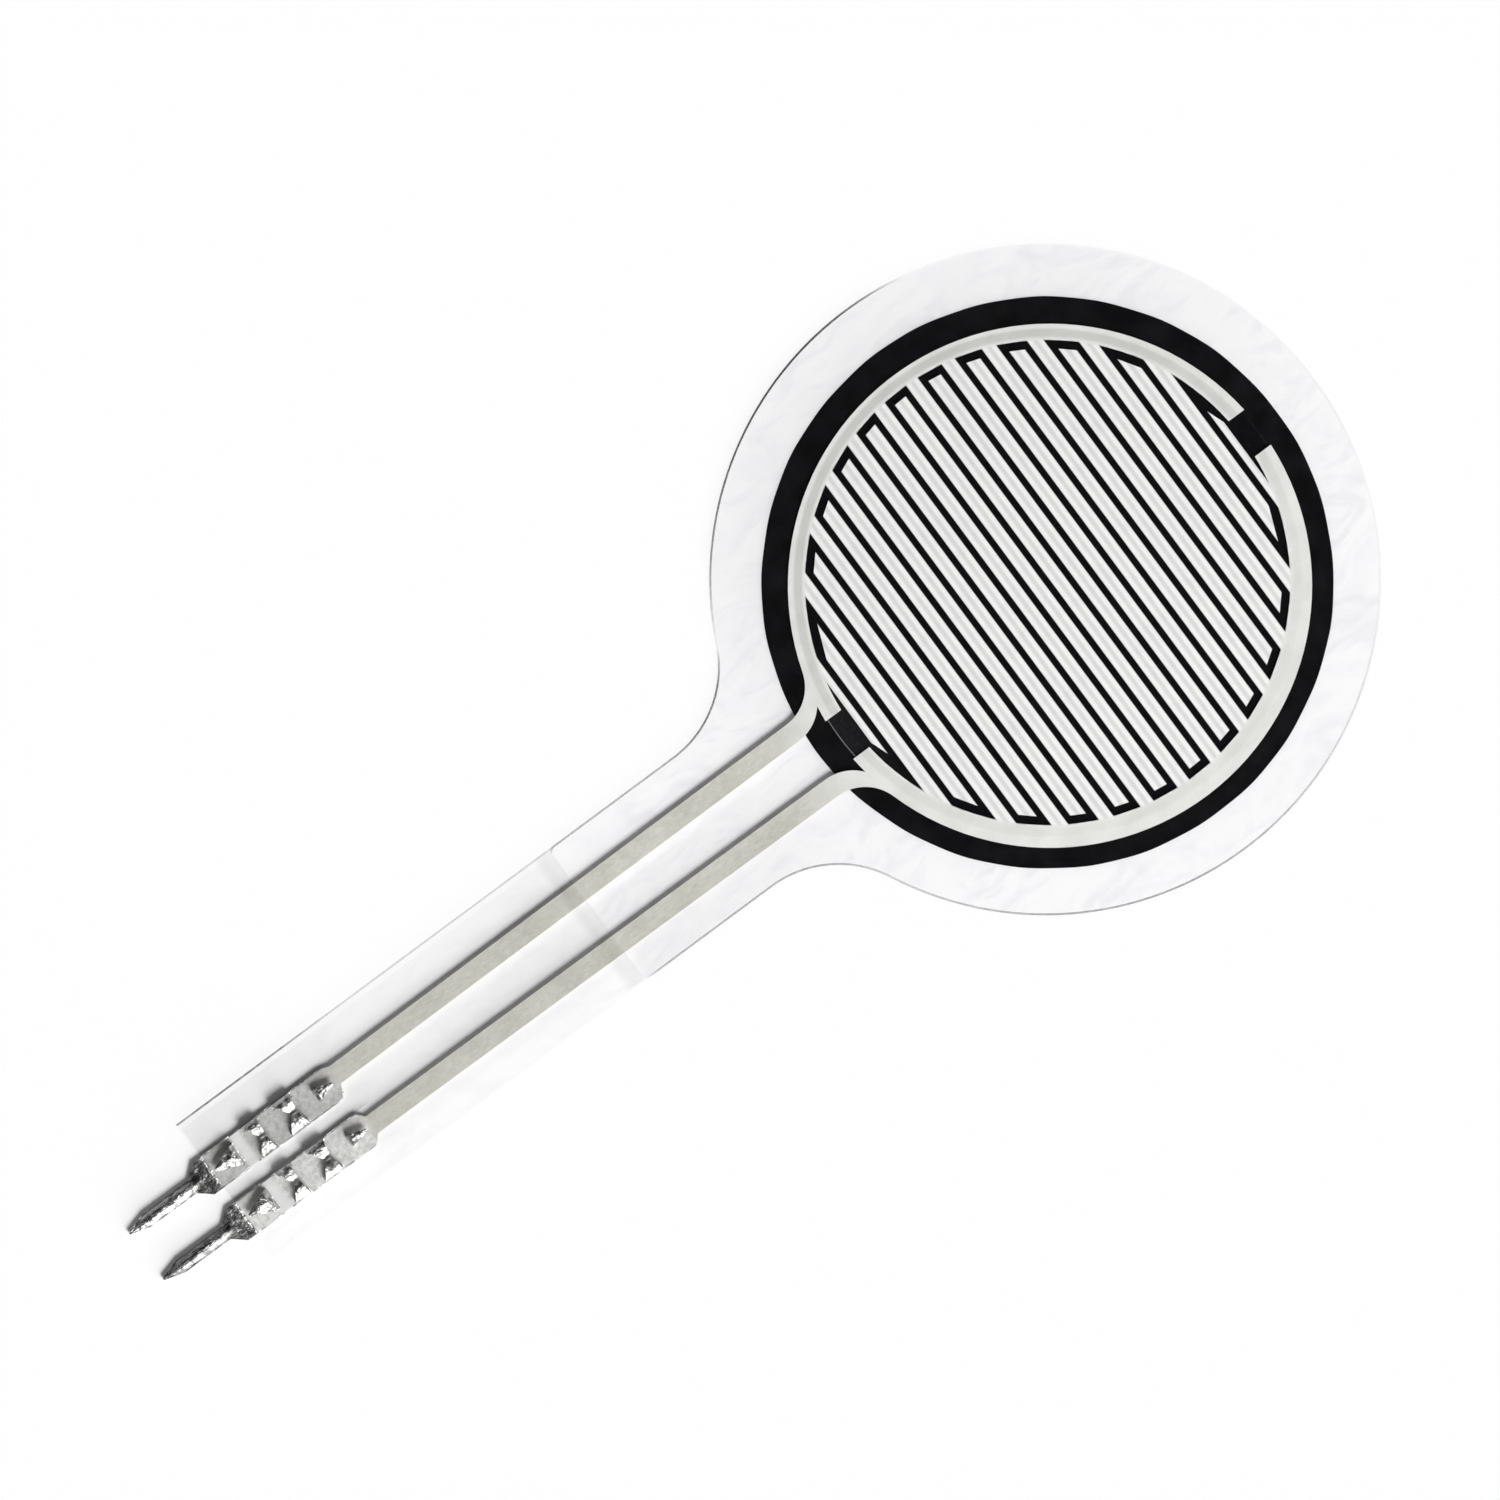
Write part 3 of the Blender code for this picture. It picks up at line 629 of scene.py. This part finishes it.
def opening_bead(name, material):
    """A thin round bead just inside the edge of the adhesive's opening."""
    curve = bpy.data.curves.new(name, "CURVE")
    curve.dimensions = "3D"
    curve.bevel_depth = BEAD_W / 2
    curve.bevel_resolution = 2
    spline = curve.splines.new("POLY")
    points = arc((0.0, PRINT_Y), SPACER_OPENING_R - BEAD_W / 2, 0.0, 2 * math.pi)[:-1]
    spline.points.add(len(points) - 1)
    for point, (x, y) in zip(spline.points, points):
        point.co = (x, y, BEAD_Z, 1.0)
    spline.use_cyclic_u = True
    guide = link_new(name + "_guide", curve)
    bpy.context.view_layer.update()
    shown = guide.evaluated_get(bpy.context.evaluated_depsgraph_get())
    mesh = bpy.data.meshes.new_from_object(shown)
    bpy.data.objects.remove(guide, do_unlink=True)
    mesh.materials.clear()
    mesh.materials.append(material)
    made = link_new(name, mesh)
    join_part(made)


def printed_disc(name, material):
    """The carbon disc, with the slightly uneven edge of a screen print."""
    work = bmesh.new()
    low, high = CARBON_Z
    shoulder = low + (high - low) * 0.6
    rows = []
    for easing, z in ((0.0, low), (0.0, shoulder), (CARBON_EASING, high)):
        row = []
        for i in range(CARBON_SIDES):
            angle = 2 * math.pi * i / CARBON_SIDES
            waves = [math.sin(count * angle + phase) for _, count, phase in CARBON_WAVES]
            wobble = sum(wave[0] * (1 + height) for wave, height in zip(CARBON_WAVES, waves))
            r = CARBON_R - easing - wobble
            row.append(work.verts.new((r * math.cos(angle), PRINT_Y + r * math.sin(angle), z)))
        rows.append(row)
    for low_row, high_row in zip(rows, rows[1:]):
        for i in range(CARBON_SIDES):
            j = (i + 1) % CARBON_SIDES
            work.faces.new((low_row[i], low_row[j], high_row[j], high_row[i])).smooth = True
    work.faces.new(rows[0][::-1])
    work.faces.new(rows[-1])
    made = mesh_object(name, work, [material])
    made.visible_shadow = False
    join_part(made)
    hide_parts("carbon_disc")


def contact(name, node, material):
    """The stamped contact with its sharp edges eased."""
    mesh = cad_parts[node].data.copy()
    mesh.name = name
    work = bmesh.new()
    work.from_mesh(mesh)
    bmesh.ops.remove_doubles(work, verts=work.verts, dist=MERGE_DISTANCE)
    bmesh.ops.dissolve_limit(work, angle_limit=FLAT_ANGLE, verts=work.verts, edges=work.edges)
    work.to_mesh(mesh)
    work.free()
    mesh.materials.clear()
    mesh.materials.append(material)
    made = link_new(name, mesh)
    bevel = made.modifiers.new("eased_edges", "BEVEL")
    bevel.width = METAL_EASING
    bevel.segments = 2
    bevel.limit_method = "ANGLE"
    bevel.angle_limit = EDGE_ANGLE
    bevel.use_clamp_overlap = True
    mesh.shade_smooth()
    mesh.set_sharp_from_angle(angle=SHARP_ANGLE)
    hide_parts(node)
    join_part(made)


def dress(node, material):
    """Give a CAD node its finished material."""
    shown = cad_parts[node]
    if not shown.data.materials:
        shown.data.materials.append(material)
    for slot_of_node in shown.material_slots:
        slot_of_node.material = material


def make_floor():
    """A plain white table."""
    n = new_look("white_table")
    diffuse = n.shader("ShaderNodeBsdfDiffuse", {"Color": TABLE_COLOUR, "Roughness": 0.0})
    material = n.finish(diffuse)
    work = bmesh.new()
    bmesh.ops.create_grid(work, x_segments=4, y_segments=4, size=TABLE_HALF_W)
    for vert in work.verts:
        vert.co.z = FLOOR_Z
    floor = mesh_object("table_top", work, [material])


def make_world():
    """Soft fill, pale where the camera looks past the table.

    Reflections are bright on the lamps' side, half as bright along the horizon, and dark
    overhead and on the far side.
    """
    world = bpy.data.worlds.new("studio")
    bpy.context.scene.world = world
    n = Nodes(world, "ShaderNodeOutputWorld")
    path = n.add("ShaderNodeLightPath").outputs
    direction = n.add("ShaderNodeTexCoord").outputs["Generated"]
    height = n.add("ShaderNodeSeparateXYZ", {"Vector": direction}).outputs["Z"]
    lamp_side = n.span(n.along(direction, BRIGHT_SIDE), 0.02, 0.42, 0.05, 1.0, smooth=True)
    horizon = n.span(height, 0.0, 0.22, 0.5, 0.0, smooth=True)
    reflected = n.maths("MAXIMUM", lamp_side, horizon)
    fill, mirrored, seen = [
        n.shader("ShaderNodeBackground", {"Color": SKY, "Strength": strength})
        for strength in (FILL_SHARE, reflected, 1.0)
    ]
    straight = n.maths("MAXIMUM", path["Is Camera Ray"], path["Is Transmission Ray"])
    n.finish(n.mixed(straight, n.mixed(path["Is Glossy Ray"], fill, mirrored), seen))


def make_lamps():
    """A lamp and a wide soft one below it, from the picture's lower right."""
    for name, elevation, spread, share in LAMPS:
        level = math.cos(elevation)
        towards = Vector((
            math.cos(LAMP_AZIMUTH) * level, math.sin(LAMP_AZIMUTH) * level, math.sin(elevation),
        ))
        lamp = bpy.data.lights.new(name, "SUN")
        lamp.angle = spread
        lamp.energy = share * math.pi / math.sin(elevation)
        holder = link_new(name, lamp)
        holder.rotation_mode = "QUATERNION"
        holder.rotation_quaternion = towards.to_track_quat("Z", "Y")
        holder.location = towards * LAMP_DISTANCE


def make_camera():
    """Straight above, with the tail towards the picture's lower left."""
    data = bpy.data.cameras.new("camera")
    data.lens = LENS
    data.sensor_width = SENSOR
    data.clip_start, data.clip_end = CLIP
    camera = link_new("camera", data)
    width = PIXELS / PIXELS_PER_MM * MM
    camera.location = PICTURE_CENTRE + Vector((0.0, 0.0, width * LENS / SENSOR))
    camera.rotation_euler = (0.0, 0.0, PICTURE_TURN)
    bpy.context.scene.camera = camera


front_look = clear_film("front_film_look", glossy=True)
rear_look = clear_film("rear_film_look", glossy=False)
front_edge = cut_edge("front_film_edge", tail=0.32, contacts=0.75, head=0.60, foot=0.0)
rear_edge = cut_edge("rear_film_edge", tail=0.25, contacts=0.25, head=0.62, foot=0.60)

rear = film(
    "rear_film_sheet", [keyhole(STEP_X, STEP_CORNER_R)], REAR_FILM_Z,
    [rear_look, rear_edge],
)
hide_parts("rear_film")
front = film(
    "front_film_sheet", [keyhole(FILM_END_X, 0.0)] + slot_outlines(), FRONT_FILM_Z,
    [front_look, front_edge],
)
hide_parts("front_film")
printed_disc("carbon_print", carbon())
opening_bead("spacer_opening_edge", opening_edge())
dress("spacer_adhesive", adhesive())
silver_look = silver()
dress("upper_silver_comb", silver_look)
dress("lower_silver_comb", silver_look)
tin_look = tin()
contact("upper_contact_metal", "upper_solder_contact", tin_look)
contact("lower_contact_metal", "lower_solder_contact", tin_look)

make_camera()
make_floor()
make_world()
make_lamps()
bpy.context.scene.view_settings.view_transform = "Standard"
bpy.context.scene.cycles.transparent_max_bounces = 32
